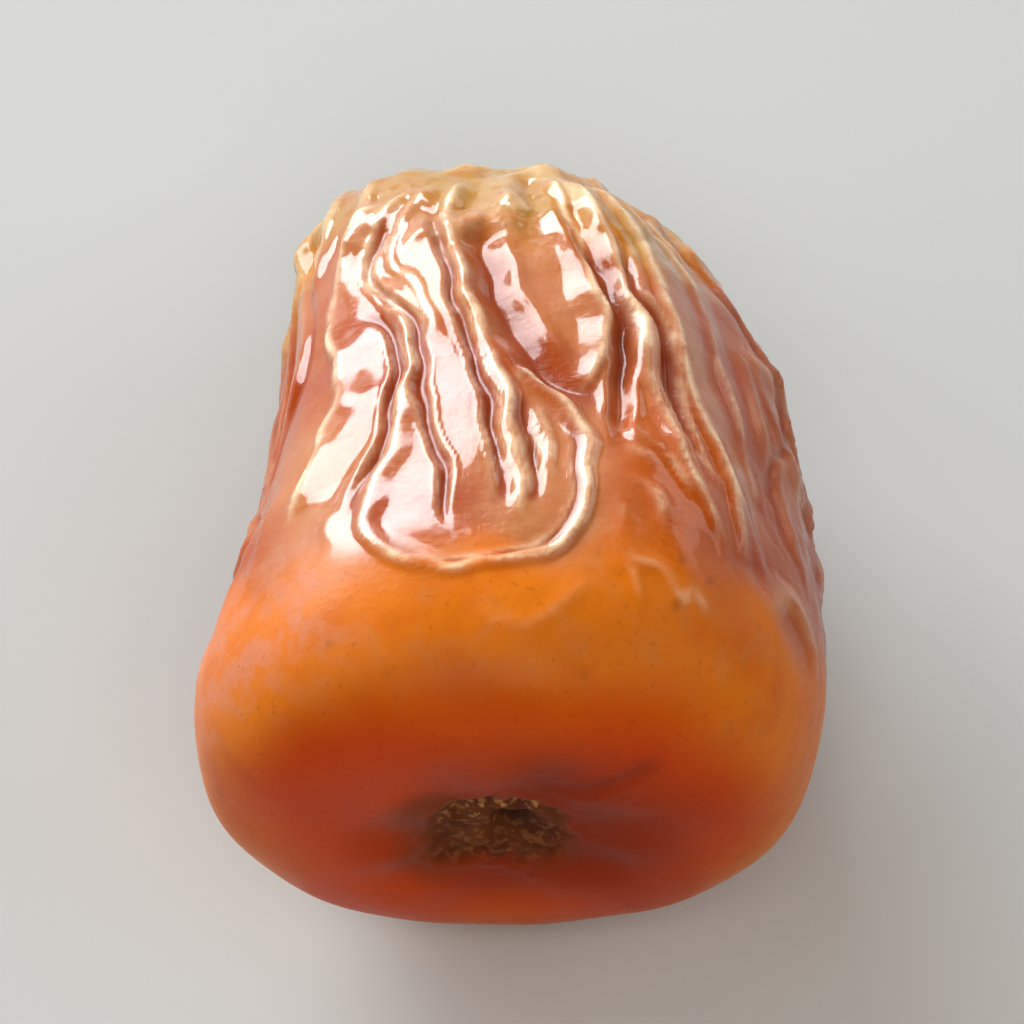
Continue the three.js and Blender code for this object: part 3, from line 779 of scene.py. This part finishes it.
AMBER = (0.7, 0.172, 0.003)
DEEP_AMBER = (0.52, 0.078, 0.002)
# Darker, redder amber of the stem-end face: painted shade.
END_AMBER = (0.52, 0.032, 0.002)
BARE = (0.46, 0.082, 0.003)
RED_BROWN = (0.26, 0.022, 0.002)
# The next colour is a painted sheen: the pale pink of reflected light on the upper left of the collar.
PAINTED_SHEEN = (0.62, 0.21, 0.12)
DRIED = (0.4, 0.075, 0.003)
DRIED_RED = (0.36, 0.048, 0.002)
# Pale tan of lifted loose skin, used also as a painted sheen on the collar and on the facets.
LOOSE_SKIN_AND_SHEEN = (0.54, 0.22, 0.08)
# Pale cream of the crests: their lifted edge's own pale, with a painted highlight.
CREAM_AND_HIGHLIGHT = (0.95, 0.73, 0.48)
# Dark red in the furrows: the flesh's deeper colour with painted shade.
VALLEY = (0.24, 0.022, 0.002)
TIP = (0.4, 0.2, 0.026)
TIP_VALLEY = (0.58, 0.17, 0.004)
STAIN = (0.15, 0.033, 0.005)
SCAR = (0.085, 0.014, 0.002)
SCAR_FLECK = (0.5, 0.23, 0.07)
# Near black in the pit's middle: painted shade in the recess, darker than the scar's own brown.
PIT = (0.012, 0.003, 0.001)


def skin_finish():
    """Waxy amber at the stem end, loose wet skin over dark flesh past it, pale at the tip."""
    skin = Finish("date skin")
    dried, crest, valley, facet = skin.mask("dried"), skin.mask("crest"), skin.mask("valley"), skin.mask("facet")
    scar, tip, scar_zone_and_shade, stain = skin.mask("scar"), skin.mask("tip"), skin.mask("scar_zone_and_shade"), skin.mask("stain")
    apex, end, flecked, bare = skin.mask("apex"), skin.mask("end"), skin.mask("flecks"), skin.mask("bare")
    painted_sheen, side = skin.mask("painted_sheen"), skin.mask("side")

    patches = skin.noise(5, 3, 0.55, 0.3)
    clouds = skin.noise(1.6, 4, 0.6, 0.4)
    specks = skin.noise(0.35, 2, 0.5)
    fibres = skin.noise(0.5, 4, 0.6, 0.2, (1, 0.35, 1))
    ripples = skin.noise(0.55, 2, 0.5, 0.6, (0.45, 1, 0.45))

    collar = skin.mixed(skin.ranged(patches, 0.4, 0.7, 0.0, 0.5), AMBER, DEEP_AMBER)
    # Painted sheen: mottled pale tan over the collar's upper part, away from the stem-end face.
    upper = skin.maths("SUBTRACT", 1.0, end)
    collar = skin.mixed(skin.maths("MULTIPLY", upper, skin.ranged(clouds, 0.46, 0.74, 0.04, 0.3)), collar, LOOSE_SKIN_AND_SHEEN)
    # Painted sheen: mottled pale pink on the upper left of the collar, in place of reflected light.
    collar = skin.mixed(skin.maths("MULTIPLY", painted_sheen, skin.ranged(clouds, 0.42, 0.6, 0.15, 0.75)), collar, PAINTED_SHEEN)
    # Painted shade: darker, redder amber over the stem-end face.
    collar = skin.mixed(skin.maths("MULTIPLY", end, 0.85), collar, END_AMBER)
    # Painted shade in the collar's creases, in red-brown.
    collar = skin.mixed(skin.maths("MULTIPLY", valley, 0.6), collar, RED_BROWN)
    # Red-brown round the scar: a darker zone round the scar with painted shade over the stem-end face.
    collar = skin.mixed(scar_zone_and_shade, collar, RED_BROWN)
    collar = skin.mixed(skin.maths("MULTIPLY", stain, 0.7), collar, STAIN)

    loose = skin.mixed(skin.ranged(patches, 0.38, 0.62), DRIED_RED, DRIED)
    # Paler in random clouds and on the facets: lifted skin's own pale, with a painted sheen on the facets.
    pale = skin.maths("ADD", skin.maths("MULTIPLY", facet, 0.5), skin.ranged(clouds, 0.45, 0.75, 0.0, 0.25), True)
    # Painted shade: the pale is held back on the sides, so that they stay darker.
    pale = skin.maths("MULTIPLY", pale, skin.maths("SUBTRACT", 1.0, skin.maths("MULTIPLY", side, 0.7)))
    loose = skin.mixed(pale, loose, LOOSE_SKIN_AND_SHEEN)
    loose = skin.mixed(skin.maths("MULTIPLY", tip, skin.ranged(clouds, 0.2, 0.6, 0.4, 0.85)), loose, TIP)
    # Furrows in dark red, golden orange towards the tip; the dark red is the flesh's deeper colour with painted
    # shade.
    loose = skin.mixed(skin.maths("MULTIPLY", valley, 0.85), loose, skin.mixed(tip, VALLEY, TIP_VALLEY))

    loose = skin.mixed(skin.maths("MULTIPLY", bare, 0.8), loose, BARE)
    colour = skin.mixed(dried, collar, loose)
    # Crest lines in pale cream: partly the skin's pale lifted edge, partly a painted highlight.
    colour = skin.mixed(skin.maths("MULTIPLY", crest, skin.ranged(clouds, 0.36, 0.62, 0.3, 0.9)), colour, CREAM_AND_HIGHLIGHT)
    colour = skin.mixed(skin.ranged(specks, 0.62, 0.74, 0.0, 0.22), colour, RED_BROWN)
    colour = skin.mixed(skin.maths("MULTIPLY", apex, 0.7), colour, STAIN)
    old = skin.mixed(skin.ranged(clouds, 0.35, 0.65), SCAR, STAIN)
    tan = skin.maths("MULTIPLY", skin.ranged(specks, 0.5, 0.64), skin.blended(flecked, 0.2, 0.95))
    colour = skin.mixed(scar, colour, skin.mixed(tan, old, SCAR_FLECK))
    # Painted shade: near black in the pit's middle.
    colour = skin.mixed(skin.maths("MULTIPLY", skin.mask("pit"), 0.9), colour, PIT)
    skin.put(skin.shader.inputs["Base Color"], colour)

    satin = skin.ranged(clouds, 0.3, 0.7, 0.32, 0.44)
    wet = skin.ranged(clouds, 0.3, 0.7, 0.16, 0.27)
    rough = skin.blended(dried, satin, wet)
    skin.put(skin.shader.inputs["Roughness"], skin.blended(scar, rough, 0.6))
    coat = skin.maths("MULTIPLY", skin.ranged(dried, 0.35, 1), skin.ranged(patches, 0.3, 0.7, 0.72, 0.5))
    dulled = skin.maths("ADD", skin.maths("MULTIPLY", bare, 0.45), skin.maths("MULTIPLY", side, 0.65), True)
    dulled = skin.maths("MULTIPLY", dulled, skin.maths("SUBTRACT", 1.0, skin.maths("MULTIPLY", facet, 0.5)))
    dulled = skin.maths("MAXIMUM", dulled, skin.maths("MULTIPLY", valley, 0.5))
    coat = skin.maths("MULTIPLY", coat, skin.maths("SUBTRACT", 1.0, dulled))
    skin.put(skin.shader.inputs["Coat Weight"], coat)
    skin.shader.inputs["Coat Roughness"].default_value = 0.08
    skin.shader.inputs["IOR"].default_value = 1.4
    skin.shader.inputs["Specular IOR Level"].default_value = 0.14
    skin.shader.inputs["Subsurface Weight"].default_value = 0.35
    skin.shader.inputs["Subsurface Radius"].default_value = (1.0, 0.35, 0.1)
    skin.shader.inputs["Subsurface Scale"].default_value = 0.5 * MM

    bump = skin.tree.nodes.new("ShaderNodeBump")
    bump.inputs["Strength"].default_value = 1.0
    bump.inputs["Distance"].default_value = 0.04 * MM
    rise = skin.maths("MULTIPLY", fibres, skin.maths("ADD", skin.maths("MULTIPLY", dried, 0.65), 0.3))
    rise = skin.maths("ADD", rise, skin.maths("MULTIPLY", ripples, skin.maths("MULTIPLY", dried, 1.1)))
    skin.put(bump.inputs["Height"], skin.maths("ADD", rise, skin.maths("MULTIPLY", specks, 0.4)))
    skin.put(skin.shader.inputs["Normal"], bump.outputs["Normal"])
    return skin.material


date.data.materials.append(skin_finish())
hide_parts("date")
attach(date, "root")


# The floor, the light and the camera


def make_floor():
    size = 6
    mesh = bpy.data.meshes.new("floor")
    mesh.from_pydata([(-size, -size, 0), (size, -size, 0), (size, size, 0), (-size, size, 0)], [], [(0, 1, 2, 3)])
    floor = bpy.data.objects.new("floor", mesh)
    bpy.context.scene.collection.objects.link(floor)
    material = bpy.data.materials.new("floor")
    material.use_nodes = True
    shader = material.node_tree.nodes["Principled BSDF"]
    shader.inputs["Base Color"].default_value = (0.52, 0.515, 0.505, 1)
    shader.inputs["Roughness"].default_value = 0.7
    mesh.materials.append(material)


make_floor()


def make_light(name, way, distance, size, power, colour):
    data = bpy.data.lights.new(name, "AREA")
    data.shape = "RECTANGLE"
    data.size, data.size_y = size
    data.energy = power
    data.color = colour
    light = bpy.data.objects.new(name, data)
    way = Vector(way).normalized()
    light.location = Vector((0, 0, 0.012)) + way * distance
    light.rotation_euler = way.to_track_quat("Z", "Y").to_euler()
    bpy.context.scene.collection.objects.link(light)


make_light("window", (-0.49, 0.82, 0.32), 0.5, (0.4, 0.24), 4.7, (0.87, 0.96, 1))
make_light("low", (0.72, 0.68, 0.13), 0.5, (0.35, 0.12), 0.3, (1, 0.95, 0.88))
make_light("top", (0.05, -0.7, 1), 0.5, (0.3, 0.3), 0.95, (1, 0.96, 0.9))
make_light("left", (-0.8, -0.2, 0.7), 0.55, (0.4, 0.4), 0.66, (1, 0.94, 0.86))
make_light("right", (0.85, -0.1, 0.65), 0.55, (0.4, 0.4), 0.6, (1, 0.94, 0.86))


def make_sky():
    """Dim all round, brighter behind the fruit, fading softly."""
    world = bpy.data.worlds.new("studio")
    world.use_nodes = True
    nodes, links = world.node_tree.nodes, world.node_tree.links
    look = nodes.new("ShaderNodeTexCoord").outputs["Generated"]
    towards = nodes.new("ShaderNodeVectorMath")
    towards.operation = "DOT_PRODUCT"
    links.new(look, towards.inputs[0])
    towards.inputs[1].default_value = Vector((-0.05, 0.88, 0.42)).normalized()
    glow = nodes.new("ShaderNodeMapRange")
    glow.interpolation_type = "SMOOTHERSTEP"
    links.new(towards.outputs["Value"], glow.inputs["Value"])
    glow.inputs["From Min"].default_value = 0.88
    glow.inputs["To Min"].default_value = 0.13
    glow.inputs["To Max"].default_value = 1.1
    background = nodes["Background"]
    background.inputs["Color"].default_value = (1, 0.96, 0.91, 1)
    links.new(glow.outputs["Result"], background.inputs["Strength"])
    return world


bpy.context.scene.world = make_sky()
bpy.context.scene.view_settings.view_transform = "Standard"

camera_data = bpy.data.cameras.new("camera")
camera_data.lens = 300
camera_data.sensor_width = 36
camera = bpy.data.objects.new("camera", camera_data)
elevation = math.radians(60)
back = Vector((0, -math.cos(elevation), math.sin(elevation)))
camera.location = Vector((0, 0, 0.0115)) + back * 0.36
camera.rotation_euler = back.to_track_quat("Z", "Y").to_euler()
camera_data.clip_start = 0.01
bpy.context.scene.collection.objects.link(camera)
bpy.context.scene.camera = camera
